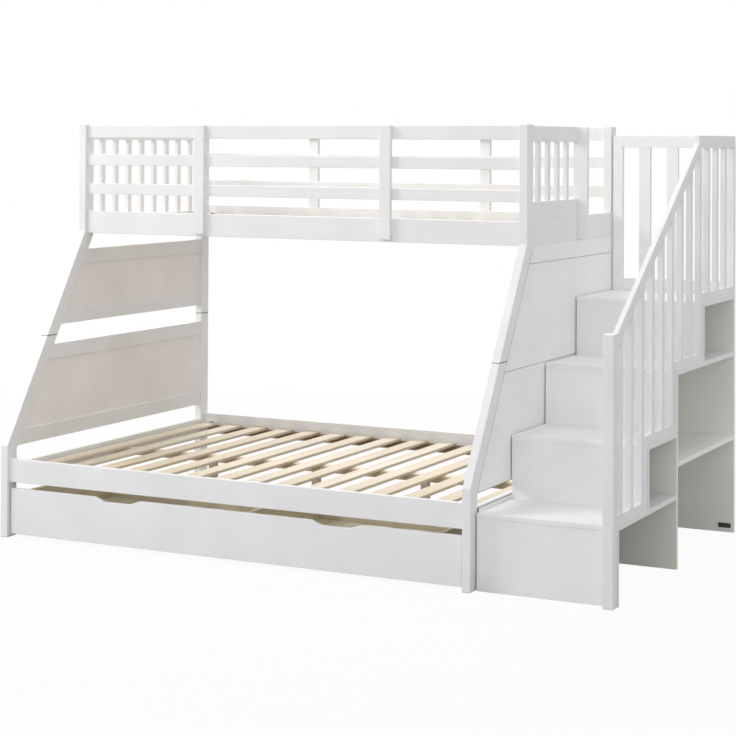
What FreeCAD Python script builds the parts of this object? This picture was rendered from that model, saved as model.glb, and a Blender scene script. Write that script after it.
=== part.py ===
import FreeCAD, Part
import os

# A staircase bunk bed: a twin bunk over a wide lower bunk, with a stair of open shelves at one end
# and a trundle on wheels below. X runs along the bed from the panelled end to the stair, Y runs from
# the front to the back and Z is up. The origin is on the floor, in the middle of the whole outline.

# Mattresses that the two bunks hold, and the play across them
mattress_length = 2032.0
lower_mattress_width = 1524.0
upper_mattress_width = 965.0
lower_width_play = 4.0
upper_width_play = 17.0

# Heights of the two bunks
under_bed_height = 226.0
headroom = 909.0
guard_height = 380.0

# Posts, each in two lengths; the front ones lean back between their two bends
post_thickness = 34.0
post_depth = 64.0
lower_bend_rise = 54.0
upper_bend_rise = 8.0
post_ease = 2.0
tenon_thickness = 12.0
tenon_width = 30.0
tenon_length = 60.0

# Side rails of both bunks, set back from the face of the posts
rail_setback = 14.0
rail_thickness = 20.0
rail_height = 95.0
board_ease = 1.5

# Hanger bolts and nuts that pull the side rails against the posts, hidden inside the bed
bolt_radius = 3.0
bolt_depth = 22.0
bolt_end = 4.0
nut_across_flats = 10.0
nut_height = 5.0
nut_pocket_place = 30.0
nut_pocket_length = 24.0
nut_pocket_height = 20.0
nut_pocket_skin = 3.0
fit_clearance = 0.05

# Guard rails of the upper bunk and the braces across them
guard_rail_drop = 5.0
guard_top_rail_height = 54.0
guard_rail_height = 47.0
guard_rail_pitch = 126.5
mid_rail_count = 2
brace_width = 48.0
brace_thickness = 20.0
brace_offset = 437.0
brace_foot_rise = 10.0

# Slats, the cleats that carry them and the support along the middle of the lower bunk
slat_width = 68.0
slat_thickness = 12.0
slat_count = 15
slat_ease = 2.0
slat_end_gap = 9.0
slat_drop = 43.0
slat_end_play = 2.0
cleat_width = 25.0
cleat_height = 32.0
beam_width = 40.0
beam_height = 28.0
leg_width = 30.0
leg_depth = 34.0
leg_spacing = 507.0
leg_count = 3

# Rails and panels across the two ends
end_rail_thickness = 25.0
lower_end_rail_height = 72.0
panel_rail_height = 63.0
panel_thickness = 9.0
lower_panel_gap = 46.0
middle_panel_gap = 80.0
upper_panel_gap = 70.0
lower_panel_share = 0.558
wall_thickness = 20.0
wall_gap = 33.0
wall_seam = 1.5

# Guards across the two ends of the upper bunk
left_end_rail_height = 70.0
right_end_rail_height = 103.0
right_guard_sill_height = 69.0
end_head_height = 63.0
end_slat_width = 29.0
end_slat_thickness = 14.0
end_slat_count = 8
entry_slat_count = 4
entry_guard_length = 515.0
entry_board_width = 62.0
entry_board_thickness = 22.0
entry_board_inset = 25.0
entry_board_rise = 5.0

# Stair of four steps against the end of the bed
stair_width = 541.0
stair_gap = 5.0
stair_board = 18.0
first_rise = 284.0
top_step_drop = 232.0
step_count = 4
first_nosing = 43.0
nosing_overhang = 3.0
stair_back_inset = 40.0
shelf_top = 408.0
inner_panel_lip = 13.0

# Guard on the open side of the stair and behind its top step
stair_guard_thickness = 20.0
newel_width = 40.0
newel_height = 962.0
sill_height = 38.0
stile_width = 18.0
stile_gap = 2.0
first_stile_clearance = 21.9711
stile_creep = 9.4249
picket_width = 30.0
first_picket_gap = 27.0
last_picket_gap = 100.5
picket_count = 12
step_picket_count = 3
sloped_picket_count = 8
outer_rail_drop = 39.0
outer_rail_height = 50.0
handrail_height = 54.0
handrail_drop = 28.0
back_guard_gap = 8.0
back_stile_width = 43.0
back_outer_stile_width = 28.0
back_picket_width = 49.0
back_picket_count = 3
back_sill_height = 54.0

# Trundle that rolls out at the front
trundle_side_gap = 7.0
trundle_setback = 15.0
trundle_board = 18.0
trundle_floor_gap = 15.0
trundle_front_top = 201.0
trundle_depth = 611.0
trundle_end_inset = 81.0
trundle_box_bottom = 60.0
trundle_divider_offset = 105.0
notch_offset = 490.0
notch_floor_width = 119.0
notch_mouth_width = 215.0
notch_depth = 17.0
bearer_width = 84.0
bearer_height = 12.0
trundle_slat_thickness = 8.0
trundle_slat_count = 25
trundle_slat_end_gap = 12.0

# Casters under the trundle
caster_end_gap = 110.0
caster_wall_gap = 62.0
wheel_radius = 25.0
wheel_width = 22.0
wheel_bore_clearance = 0.05
axle_radius = 4.0
fork_thickness = 3.0
fork_side_gap = 1.0
fork_depth = 34.0
fork_axle_wall = 8.0

overrun = 1.0

# Places that follow from the sizes
bed_length = mattress_length + 2 * post_thickness
rail_inset = rail_setback + rail_thickness
bed_depth = lower_mattress_width + lower_width_play + 2 * rail_inset
upper_depth = upper_mattress_width + upper_width_play + 2 * rail_inset
x_left = -(bed_length + stair_width) / 2
x_right = x_left + bed_length
x_inner_left = x_left + post_thickness
x_inner_right = x_right - post_thickness
x_middle = (x_left + x_right) / 2
x_outer = x_right + stair_width
brace_proud = brace_thickness - rail_setback
y_front = -(bed_depth + brace_proud) / 2
y_back = y_front + bed_depth
y_upper = y_back - upper_depth
y_rear_post = y_back - post_depth
y_middle = (y_front + y_back) / 2
lower_rail_bottom = under_bed_height
lower_rail_top = lower_rail_bottom + rail_height
upper_rail_bottom = lower_rail_top + headroom
upper_rail_top = upper_rail_bottom + rail_height
post_height = upper_rail_top + guard_height
guard_top = post_height - guard_rail_drop
lower_bend_height = lower_rail_top + lower_bend_rise
upper_bend_height = upper_rail_bottom + upper_bend_rise
lean = FreeCAD.Vector(0, y_upper - y_front, upper_bend_height - lower_bend_height)
bend_drop = post_depth * (lean.Length - lean.z) / lean.y
back_bends = (lower_bend_height - bend_drop, upper_bend_height - bend_drop)
end_inset = (post_thickness - end_rail_thickness) / 2

panelled_height = headroom - lower_panel_gap - middle_panel_gap - upper_panel_gap
lower_panel_bottom = lower_rail_top + lower_panel_gap
lower_panel_top = lower_panel_bottom + panelled_height * lower_panel_share
upper_panel_bottom = lower_panel_top + middle_panel_gap
upper_panel_top = upper_rail_bottom - upper_panel_gap
post_joint_height = (lower_panel_top + upper_panel_bottom) / 2
lower_end_rail_top = lower_rail_bottom + lower_end_rail_height
left_end_rail_top = upper_rail_bottom + left_end_rail_height
right_end_rail_top = upper_rail_bottom + right_end_rail_height

top_tread = upper_rail_bottom - top_step_drop
rise = (top_tread - first_rise) / (step_count - 1)
tread_tops = [first_rise + rise * step for step in range(step_count)]
y_stair_back = y_back - stair_back_inset
y_newel_back = y_front + first_nosing
first_picket = y_newel_back + first_picket_gap
last_picket = y_stair_back - picket_width - last_picket_gap - picket_width
picket_pitch = (last_picket - first_picket) / (picket_count - 1)
# Each step carries as many pickets as the next, and they come a little nearer to its stile
nosings = [y_newel_back]
for step in range(step_count - 1):
    last_on_step = first_picket + (step_picket_count * (step + 1) - 1) * picket_pitch + picket_width
    stile_clearance = first_stile_clearance - stile_creep * step
    nosings.append(last_on_step + stile_clearance + stile_width + stile_gap)
y_back_panel = y_stair_back - stair_board
x_stair = x_right + stair_gap
outer_rail_top = post_height - outer_rail_drop
x_guard = x_outer - stair_guard_thickness
y_divider = nosings[2] + nosing_overhang

y_trundle = y_front + trundle_setback
y_trundle_back = y_trundle + trundle_depth
x_trundle_left = x_inner_left + trundle_side_gap
x_trundle_right = x_inner_right - trundle_side_gap
x_end_left = x_trundle_left + trundle_end_inset
x_end_right = x_trundle_right - trundle_end_inset
x_box_left = x_end_left + trundle_board
x_box_right = x_end_right - trundle_board
slat_seat = trundle_box_bottom + bearer_height
trundle_deck = slat_seat + trundle_slat_thickness


def box(x_span, y_span, z_span, ease=0):
    """A board between two places along each axis, with its edges eased by a small chamfer."""
    corner = FreeCAD.Vector(x_span[0], y_span[0], z_span[0])
    solid = Part.makeBox(x_span[1] - x_span[0], y_span[1] - y_span[0], z_span[1] - z_span[0], corner)
    return solid.makeChamfer(ease, solid.Edges) if ease else solid


def at_bend(edge):
    """Whether an edge runs along a bend of the front posts, where boards meet flush."""
    place = edge.BoundBox
    bends = (lower_bend_height, upper_bend_height, *back_bends)
    return place.ZLength < overrun and min(abs(place.ZMin - bend) for bend in bends) < overrun


def side_board(outline, x_span, ease=0):
    """A board whose outline is drawn in the YZ plane, as thick as the span along X."""
    points = [FreeCAD.Vector(x_span[0], y, z) for y, z in outline]
    face = Part.Face(Part.makePolygon(points + points[:1]))
    solid = face.extrude(FreeCAD.Vector(x_span[1] - x_span[0], 0, 0))
    if not ease:
        return solid
    return solid.makeChamfer(ease, [edge for edge in solid.Edges if not at_bend(edge)])


def front_board(outline, y_span, ease=0):
    """A board whose outline is drawn in the XZ plane, as thick as the span along Y."""
    points = [FreeCAD.Vector(x, y_span[0], z) for x, z in outline]
    face = Part.Face(Part.makePolygon(points + points[:1]))
    solid = face.extrude(FreeCAD.Vector(0, y_span[1] - y_span[0], 0))
    return solid.makeChamfer(ease, solid.Edges) if ease else solid


def rod(start, direction, radius, length):
    return Part.makeCylinder(radius, length, FreeCAD.Vector(*start), FreeCAD.Vector(*direction))


def save(node, shapes):
    """Write one node; pieces that repeat go into it as separate solids."""
    shape = shapes[0] if len(shapes) == 1 else Part.makeCompound(shapes)
    shape.exportStep(os.path.join("parts", node + ".step"))


def span_from(start, length):
    return (start, start + length)


def front_edge(z):
    """Where the front face of a front post is at a height."""
    share = (z - lower_bend_height) / (upper_bend_height - lower_bend_height)
    return y_front + (y_upper - y_front) * min(max(share, 0), 1)


def back_edge(z):
    """Where its back face is; it bends lower, so that the leaning part is as wide as the rest."""
    return front_edge(z + bend_drop) + post_depth


# Joinery shared by the posts and the side rails


def rail_places():
    """Name, front face, bottom and inward direction along Y of each side rail."""
    rear_face = y_back - rail_inset
    return [
        ("lower_front_rail", y_front + rail_setback, lower_rail_bottom, 1),
        ("lower_rear_rail", rear_face, lower_rail_bottom, -1),
        ("upper_front_rail", y_upper + rail_setback, upper_rail_bottom, 1),
        ("upper_rear_rail", rear_face, upper_rail_bottom, -1),
    ]


def bolt_axes(face, bottom):
    """Inner face of the post, Y, Z and direction into the rail for the bolt at each end of a rail."""
    y = face + rail_thickness / 2
    z = bottom + rail_height / 2
    return [(x_inner_left, y, z, 1), (x_inner_right, y, z, -1)]


def hanger_bolt(x, y, z, way, clearance=0):
    """A stud from its blind hole in the post to its nut, or with a clearance the hole for it."""
    start = x - way * bolt_depth
    length = bolt_depth + nut_pocket_place + nut_height + bolt_end
    return rod((start, y, z), (way, 0, 0), bolt_radius + clearance, length)


def rail_nut(x, y, z, way):
    """A hexagon nut against the end wall of its pocket, with room for the stud."""
    corner_radius = nut_across_flats / 3 ** 0.5
    sixth_turn = 60
    outline = []
    for corner in range(6):
        turn = FreeCAD.Rotation(FreeCAD.Vector(1, 0, 0), sixth_turn * corner)
        point = turn.multVec(FreeCAD.Vector(0, corner_radius, 0))
        outline.append((y + point.y, z + point.z))
    x_seat = x + way * nut_pocket_place
    x_span = sorted((x_seat, x_seat + way * nut_height))
    return side_board(outline, x_span).cut(hanger_bolt(x, y, z, way, fit_clearance))


def nut_pocket(x, z, way, face, inward):
    """The pocket in the inner face of a rail that the nut is tightened through."""
    x_seat = x + way * nut_pocket_place
    outside = face if inward > 0 else face + rail_thickness
    y_span = (outside + inward * nut_pocket_skin, outside + inward * (rail_thickness + overrun))
    return box(
        sorted((x_seat, x_seat + way * nut_pocket_length)),
        sorted(y_span),
        (z - nut_pocket_height / 2, z + nut_pocket_height / 2),
    )


def post_tenon(x_span, axis):
    """A loose tenon across the joint of a post; axis gives the middle of that post at a height."""
    middle = (x_span[0] + x_span[1]) / 2
    low = post_joint_height - tenon_length / 2
    high = post_joint_height + tenon_length / 2
    outline = [
        (axis(low) - tenon_width / 2, low),
        (axis(low) + tenon_width / 2, low),
        (axis(high) + tenon_width / 2, high),
        (axis(high) - tenon_width / 2, high),
    ]
    return side_board(outline, (middle - tenon_thickness / 2, middle + tenon_thickness / 2))


def front_axis(z):
    return (front_edge(z) + back_edge(z)) / 2


def rear_axis(z):
    return (y_rear_post + y_back) / 2


def make_posts():
    """Four posts, each a lower and an upper length that meet on a glued loose tenon."""
    joint = [(edge(post_joint_height), post_joint_height) for edge in (front_edge, back_edge)]
    lower_front = [
        (y_front, 0),
        (y_front + post_depth, 0),
        (y_front + post_depth, back_bends[0]),
        joint[1],
        joint[0],
        (y_front, lower_bend_height),
    ]
    upper_front = [
        joint[0],
        joint[1],
        (y_upper + post_depth, back_bends[1]),
        (y_upper + post_depth, post_height),
        (y_upper, post_height),
        (y_upper, upper_bend_height),
    ]
    rear = (y_rear_post, y_back)
    holes = []
    for _, face, bottom, _ in rail_places():
        holes += [hanger_bolt(*axis, fit_clearance) for axis in bolt_axes(face, bottom)]
    tenons = []
    for side, x_span in (("left", (x_left, x_inner_left)), ("right", (x_inner_right, x_right))):
        lengths = {
            "front_lower": side_board(lower_front, x_span, post_ease),
            "front_upper": side_board(upper_front, x_span, post_ease),
            "rear_lower": box(x_span, rear, (0, post_joint_height), post_ease),
            "rear_upper": box(x_span, rear, (post_joint_height, post_height), post_ease),
        }
        pair = [post_tenon(x_span, front_axis), post_tenon(x_span, rear_axis)]
        tenons += pair
        for name, solid in lengths.items():
            save(side + "_" + name + "_post", [solid.cut(holes + pair)])
    save("post_tenons", tenons)


def make_side_rails():
    """Front and rear rails of both bunks with the hanger bolts and nuts at their ends."""
    bolts = []
    nuts = []
    for name, face, bottom, inward in rail_places():
        rail = box(
            (x_inner_left, x_inner_right),
            span_from(face, rail_thickness),
            span_from(bottom, rail_height),
            board_ease,
        )
        for axis in bolt_axes(face, bottom):
            x, _, z, way = axis
            rail = rail.cut([hanger_bolt(*axis, fit_clearance), nut_pocket(x, z, way, face, inward)])
            bolts.append(hanger_bolt(*axis))
            nuts.append(rail_nut(*axis))
        save(name, [rail])
    save("hanger_bolts", bolts)
    save("rail_nuts", nuts)


def make_guards():
    """Long guards of the upper bunk: a top rail, two mid rails and two braces on the outside of each."""
    top_rails = []
    mid_rails = []
    braces = []
    x_span = (x_inner_left, x_inner_right)
    for face, outward in ((y_upper + rail_setback, -1), (y_back - rail_inset, 1)):
        y_span = span_from(face, rail_thickness)
        for row in range(mid_rail_count + 1):
            top = guard_top - row * guard_rail_pitch
            height = guard_rail_height if row else guard_top_rail_height
            rail = box(x_span, y_span, (top - height, top), board_ease)
            if row:
                mid_rails.append(rail)
            else:
                top_rails.append(rail)
        outside = face if outward < 0 else face + rail_thickness
        brace_y = sorted((outside, outside + outward * brace_thickness))
        for way in (-1, 1):
            middle = x_middle + way * brace_offset
            brace_x = (middle - brace_width / 2, middle + brace_width / 2)
            brace_z = (upper_rail_bottom + brace_foot_rise, guard_top)
            braces.append(box(brace_x, brace_y, brace_z, board_ease))
    save("guard_top_rails", top_rails)
    save("guard_mid_rails", mid_rails)
    save("guard_braces", braces)


def slat_row(count, x_clear, end_gap, y_span, z_span, ease=0):
    """Slats laid evenly along the clear length; an ease rounds off only their long edges."""
    first = x_clear[0] + end_gap
    last = x_clear[1] - end_gap - slat_width
    pitch = (last - first) / (count - 1)
    slats = []
    for number in range(count):
        slat = box(span_from(first + number * pitch, slat_width), y_span, z_span)
        if ease:
            slat = slat.makeChamfer(ease, [edge for edge in slat.Edges if edge.Length > slat_width + ease])
        slats.append(slat)
    return slats


def make_decks():
    """Pine slats of the two bunks on cleats along the side rails, and the support under the lower ones."""
    cleats = []
    x_clear = (x_inner_left, x_inner_right)
    rear_inside = y_back - rail_inset
    decks = (
        ("lower_slats", y_front + rail_inset, lower_rail_top),
        ("upper_slats", y_upper + rail_inset, upper_rail_top),
    )
    for node, front_inside, rail_top in decks:
        z_low = rail_top - slat_drop - slat_thickness
        z_cleat = (z_low - cleat_height, z_low)
        for y_span in (span_from(front_inside, cleat_width), (rear_inside - cleat_width, rear_inside)):
            x_span = (x_inner_left + post_thickness, x_inner_right - post_thickness)
            cleats.append(box(x_span, y_span, z_cleat))
        slat_y = (front_inside + slat_end_play, rear_inside - slat_end_play)
        slat_z = span_from(z_low, slat_thickness)
        save(node, slat_row(slat_count, x_clear, slat_end_gap, slat_y, slat_z, slat_ease))
    save("slat_cleats", cleats)
    beam_top = lower_rail_top - slat_drop - slat_thickness
    beam_bottom = beam_top - beam_height
    beam_y = (y_middle - beam_width / 2, y_middle + beam_width / 2)
    save("centre_beam", [box(x_clear, beam_y, (beam_bottom, beam_top), board_ease)])
    legs = []
    for number in range(leg_count):
        middle = x_middle + (number - (leg_count - 1) / 2) * leg_spacing
        leg_x = (middle - leg_width / 2, middle + leg_width / 2)
        leg_y = (y_middle - leg_depth / 2, y_middle + leg_depth / 2)
        legs.append(box(leg_x, leg_y, (0, beam_bottom), board_ease))
    save("centre_legs", legs)


def between_posts(bottom, top):
    """Outline of a board that fills the space between a leaning front post and its rear post."""
    outline = [(back_edge(bottom), bottom), (y_rear_post, bottom), (y_rear_post, top), (back_edge(top), top)]
    for bend in sorted(back_bends, reverse=True):
        if bottom < bend < top:
            outline.append((back_edge(bend), bend))
    return outline


def make_end_frames():
    """Low end rails, the framed panels of the far end and the boarded wall of the stair end."""
    low_x = ((x_inner_left - end_rail_thickness, x_inner_left), span_from(x_inner_right, end_rail_thickness))
    low_y = (y_front + post_depth, y_rear_post)
    low_z = (lower_rail_bottom, lower_end_rail_top)
    save("lower_end_rails", [box(x_span, low_y, low_z, board_ease) for x_span in low_x])

    rails = []
    panels = []
    left_x = span_from(x_left + end_inset, end_rail_thickness)
    panel_x = span_from(x_left + (post_thickness - panel_thickness) / 2, panel_thickness)
    for bottom, top in ((lower_panel_bottom, lower_panel_top), (upper_panel_bottom, upper_panel_top)):
        sill = bottom + panel_rail_height
        head = top - panel_rail_height
        rails.append(side_board(between_posts(bottom, sill), left_x, board_ease))
        rails.append(side_board(between_posts(head, top), left_x, board_ease))
        panels.append(side_board(between_posts(sill, head), panel_x))
    save("left_panel_rails", rails)
    save("left_panels", panels)

    wall_bottom = lower_rail_top + wall_gap
    seams = [wall_bottom - wall_seam, lower_panel_top, upper_panel_top, upper_rail_bottom]
    wall_x = (x_right - wall_thickness, x_right)
    walls = [side_board(between_posts(low + wall_seam, high), wall_x) for low, high in zip(seams, seams[1:])]
    save("right_end_walls", walls)


def make_end_guards():
    """Slatted guards across both ends of the upper bunk; the stair end stops at the entry board."""
    left_x = span_from(x_left + end_inset, end_rail_thickness)
    right_x = (x_right - end_inset - end_rail_thickness, x_right - end_inset)
    front = y_upper + post_depth
    y_entry = front + entry_guard_length
    full_y = (front, y_rear_post)
    entry_y = (front, y_entry)
    head = (guard_top - end_head_height, guard_top)
    sill_top = right_end_rail_top + right_guard_sill_height
    save("upper_end_rails", [
        box(left_x, full_y, (upper_rail_bottom, left_end_rail_top), board_ease),
        box(right_x, full_y, (upper_rail_bottom, right_end_rail_top), board_ease),
    ])
    save("end_guard_rails", [
        box(left_x, full_y, head, board_ease),
        box(right_x, entry_y, head, board_ease),
        box(right_x, entry_y, (right_end_rail_top, sill_top), board_ease),
    ])
    gap = (y_rear_post - front - end_slat_count * end_slat_width) / (end_slat_count + 1)
    slats = []
    slat_inset = (end_rail_thickness - end_slat_thickness) / 2
    rows = ((left_x, end_slat_count, left_end_rail_top), (right_x, entry_slat_count, sill_top))
    for x_span, count, bottom in rows:
        slat_x = (x_span[0] + slat_inset, x_span[1] - slat_inset)
        for number in range(count):
            start = front + gap + number * (gap + end_slat_width)
            slats.append(box(slat_x, span_from(start, end_slat_width), (bottom, head[0])))
    save("end_guard_slats", slats)
    rail_face = x_right - end_inset
    inner = x_right - entry_board_inset
    board_bottom = upper_rail_bottom + entry_board_rise
    outline = [
        (inner, right_end_rail_top),
        (rail_face, right_end_rail_top),
        (rail_face, board_bottom),
        (inner + entry_board_width, board_bottom),
        (inner + entry_board_width, guard_top),
        (inner, guard_top),
    ]
    save("entry_board", [front_board(outline, span_from(y_entry, entry_board_thickness), board_ease)])


def make_stair():
    """Treads, risers, dividers and shelves of the stair, open on the outside as cubbies."""
    x_span = (x_stair, x_outer)
    deep_ends = [y_divider, y_divider, y_back_panel, y_stair_back]
    for step, top in enumerate(tread_tops):
        y_span = (nosings[step], deep_ends[step])
        save("tread_" + str(step + 1), [box(x_span, y_span, (top - stair_board, top), board_ease)])
    undersides = [top - stair_board for top in tread_tops]
    risers = []
    for step, floor in ((0, 0), (1, tread_tops[0]), (3, tread_tops[2])):
        y_span = span_from(nosings[step] + nosing_overhang, stair_board)
        risers.append(box(x_span, y_span, (floor, undersides[step])))
    save("stair_risers", risers)
    save("stair_divider", [box(x_span, span_from(y_divider, stair_board), (0, undersides[2]))])
    save("stair_back_panel", [box(x_span, (y_back_panel, y_stair_back), (0, undersides[3]))])
    y_bay = (y_divider + stair_board, y_back_panel)
    save("middle_shelf", [box(x_span, y_bay, (shelf_top - stair_board, shelf_top), board_ease)])
    edges = [nosing + nosing_overhang + stair_board for nosing in nosings] + [y_stair_back]
    tops = [tread_tops[0] + inner_panel_lip] + undersides[1:]
    outline = [(edges[0], 0)]
    for step, top in enumerate(tops):
        outline += [(edges[step], top), (edges[step + 1], top)]
    outline.append((y_stair_back, 0))
    save("stair_inner_panel", [side_board(outline, (x_right, x_stair))])


def picket_front(number):
    return first_picket + number * picket_pitch


def handrail_top(y):
    """Height of the sloping handrail's upper edge."""
    run = picket_front(sloped_picket_count) - y_newel_back
    climb = outer_rail_top - handrail_drop - newel_height
    return newel_height + climb * (y - y_newel_back) / run


def make_stair_guard():
    """Newel, handrail, level top rail, stepped sills and pickets on the open side of the stair."""
    x_span = (x_guard, x_outer)
    y_top = picket_front(sloped_picket_count)
    newel_x = (x_outer - newel_width, x_outer)
    save("newel_post", [box(newel_x, (y_front, y_newel_back), (0, newel_height), post_ease)])
    handrail = [
        (y_newel_back, newel_height - handrail_height),
        (y_top, handrail_top(y_top) - handrail_height),
        (y_top, handrail_top(y_top)),
        (y_newel_back, newel_height),
    ]
    save("handrail", [side_board(handrail, x_span, board_ease)])
    rail_bottom = outer_rail_top - outer_rail_height
    save("outer_top_rail", [box(x_span, (y_top, y_stair_back), (rail_bottom, outer_rail_top), board_ease)])

    stile_fronts = [nosing - stile_gap - stile_width for nosing in nosings[1:]]
    starts = [y_newel_back] + stile_fronts
    ends = stile_fronts + [y_stair_back]
    sills = [
        box(x_span, (start, end), span_from(top, sill_height), board_ease)
        for start, end, top in zip(starts, ends, tread_tops)
    ]
    save("outer_guard_sills", sills)
    stiles = [
        box(x_span, span_from(front, stile_width), (low, high))
        for front, low, high in zip(stile_fronts, tread_tops, tread_tops[1:])
    ]
    save("outer_guard_stiles", stiles)

    pickets = []
    fronts = [picket_front(number) for number in range(picket_count)] + [y_stair_back - picket_width]
    for front in fronts:
        back = front + picket_width
        foot = max(top for start, top in zip(starts, tread_tops) if start <= front) + sill_height
        heads = [rail_bottom, rail_bottom]
        if front < y_top:
            heads = [handrail_top(y) - handrail_height for y in (front, back)]
        pickets.append(side_board([(front, foot), (back, foot), (back, heads[1]), (front, heads[0])], x_span))
    save("outer_guard_pickets", pickets)


def make_back_guard():
    """Guard across the back of the top step."""
    y_span = (y_stair_back - stair_guard_thickness, y_stair_back)
    floor = tread_tops[-1]
    left = span_from(x_right + back_guard_gap, back_stile_width)
    right = (x_guard - back_outer_stile_width, x_guard)
    stile_z = (floor, outer_rail_top)
    save("back_guard_stiles", [box(x_span, y_span, stile_z, board_ease) for x_span in (left, right)])
    rail_x = (left[1], right[0])
    rail_z = ((floor, floor + back_sill_height), (outer_rail_top - outer_rail_height, outer_rail_top))
    save("back_guard_rails", [box(rail_x, y_span, z_span, board_ease) for z_span in rail_z])
    gap = (rail_x[1] - rail_x[0] - back_picket_count * back_picket_width) / (back_picket_count + 1)
    pickets = []
    for number in range(back_picket_count):
        start = rail_x[0] + gap + number * (gap + back_picket_width)
        pickets.append(box(span_from(start, back_picket_width), y_span, (rail_z[0][1], rail_z[1][0])))
    save("back_guard_pickets", pickets)


def make_trundle():
    """Notched front board, box boards, bearers, close-laid slats and divider of the trundle."""
    half_floor = notch_floor_width / 2
    half_mouth = notch_mouth_width / 2
    notch_floor = trundle_front_top - notch_depth
    top_edge = []
    for way in (-1, 1):
        middle = x_middle + way * notch_offset
        top_edge += [
            (middle - half_mouth, trundle_front_top),
            (middle - half_floor, notch_floor),
            (middle + half_floor, notch_floor),
            (middle + half_mouth, trundle_front_top),
        ]
    outline = [
        (x_trundle_left, trundle_floor_gap),
        (x_trundle_left, trundle_front_top),
        *top_edge,
        (x_trundle_right, trundle_front_top),
        (x_trundle_right, trundle_floor_gap),
    ]
    save("trundle_front", [front_board(outline, span_from(y_trundle, trundle_board), board_ease)])
    y_inside = (y_trundle + trundle_board, y_trundle_back - trundle_board)
    box_z = (trundle_box_bottom, trundle_front_top)
    y_rear = (y_inside[1], y_trundle_back)
    save("trundle_rear_board", [box((x_end_left, x_end_right), y_rear, box_z, board_ease)])
    ends = ((x_end_left, x_box_left), (x_box_right, x_end_right))
    save("trundle_end_boards", [box(x_span, y_inside, box_z, board_ease) for x_span in ends])
    bearer_x = (x_box_left, x_box_right)
    bearer_z = span_from(trundle_box_bottom, bearer_height)
    bearer_y = (span_from(y_inside[0], bearer_width), (y_inside[1] - bearer_width, y_inside[1]))
    save("trundle_bearers", [box(bearer_x, y_span, bearer_z) for y_span in bearer_y])
    slat_y = (y_inside[0] + slat_end_play, y_inside[1] - slat_end_play)
    slat_z = (slat_seat, trundle_deck)
    save("trundle_slats", slat_row(trundle_slat_count, bearer_x, trundle_slat_end_gap, slat_y, slat_z))
    divider_x = span_from(x_middle + trundle_divider_offset - trundle_board / 2, trundle_board)
    save("trundle_divider", [box(divider_x, y_inside, (trundle_deck, trundle_front_top), board_ease)])


def caster_places():
    """Name and axle centre of each caster, over the floor that the wheels roll on."""
    y_fore = y_trundle + trundle_board + caster_wall_gap
    y_aft = y_trundle_back - trundle_board - caster_wall_gap
    places = []
    for row, y in (("front", y_fore), ("rear", y_aft)):
        for side, x in (("left", x_box_left + caster_end_gap), ("right", x_box_right - caster_end_gap)):
            places.append((row + "_" + side, x, y))
    return places


def wheel(x, y):
    """A caster wheel with the bore that it runs on."""
    start = (x - wheel_width / 2, y, wheel_radius)
    tyre = rod(start, (1, 0, 0), wheel_radius, wheel_width)
    return tyre.cut(rod(start, (1, 0, 0), axle_radius + wheel_bore_clearance, wheel_width))


def make_casters():
    """A bent fork with its riveted axle, and a wheel, at each corner of the trundle."""
    forks = []
    inside = wheel_width / 2 + fork_side_gap
    outside = inside + fork_thickness
    plate_low = trundle_box_bottom - fork_thickness
    ear_low = wheel_radius - fork_axle_wall
    for name, x, y in caster_places():
        outline = [
            (x - outside, ear_low), (x - outside, trundle_box_bottom), (x + outside, trundle_box_bottom),
            (x + outside, ear_low), (x + inside, ear_low), (x + inside, plate_low),
            (x - inside, plate_low), (x - inside, ear_low),
        ]
        fork = front_board(outline, (y - fork_depth / 2, y + fork_depth / 2))
        axle = rod((x - inside, y, wheel_radius), (1, 0, 0), axle_radius, 2 * inside)
        forks.append(fork.fuse(axle).removeSplitter())
        save(name + "_wheel", [wheel(x, y)])
    save("caster_forks", forks)


os.makedirs("parts", exist_ok=True)
make_posts()
make_side_rails()
make_guards()
make_decks()
make_end_frames()
make_end_guards()
make_stair()
make_stair_guard()
make_back_guard()
make_trundle()
make_casters()
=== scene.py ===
# %% [markdown]
# # A staircase bunk bed with a trundle
# The frame of this bed is already built: every rail, post, slat and step is loaded as a node at its
# real size, in metres. What is left for Blender is what the eye gets from the real bed: the finish of
# each surface, the small parts that were left plain, and the light and camera of the photograph.
# Everything below sits in the same frame as those nodes, so nothing has to be fitted afterwards.

# %% Load the frame and keep its outline
import math

import bpy
from mathutils import Matrix, Vector


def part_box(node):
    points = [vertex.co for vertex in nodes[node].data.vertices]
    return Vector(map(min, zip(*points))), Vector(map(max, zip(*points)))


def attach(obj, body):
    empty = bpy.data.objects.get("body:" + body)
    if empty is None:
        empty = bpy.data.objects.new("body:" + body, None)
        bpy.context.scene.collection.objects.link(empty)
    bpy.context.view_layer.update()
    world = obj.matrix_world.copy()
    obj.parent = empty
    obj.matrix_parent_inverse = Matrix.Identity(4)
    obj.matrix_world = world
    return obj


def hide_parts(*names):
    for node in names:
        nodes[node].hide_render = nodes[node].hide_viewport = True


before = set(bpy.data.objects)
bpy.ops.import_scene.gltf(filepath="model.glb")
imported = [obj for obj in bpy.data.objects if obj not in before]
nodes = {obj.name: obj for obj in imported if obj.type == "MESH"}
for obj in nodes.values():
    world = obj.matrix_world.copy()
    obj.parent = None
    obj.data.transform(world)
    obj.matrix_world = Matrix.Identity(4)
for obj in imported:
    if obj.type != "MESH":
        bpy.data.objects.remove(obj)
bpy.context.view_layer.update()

millimetre = 0.001

# %% [markdown]
# ## Colours and nodes
# Colours are given as sRGB hex values, but a renderer adds up light in linear values. One
# function makes that change, so every colour below can be read as the colour it looks like. A second
# function adds a shader node, sets its own settings and fills its inputs with values or with links.

# %% Two helpers for all materials


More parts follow.
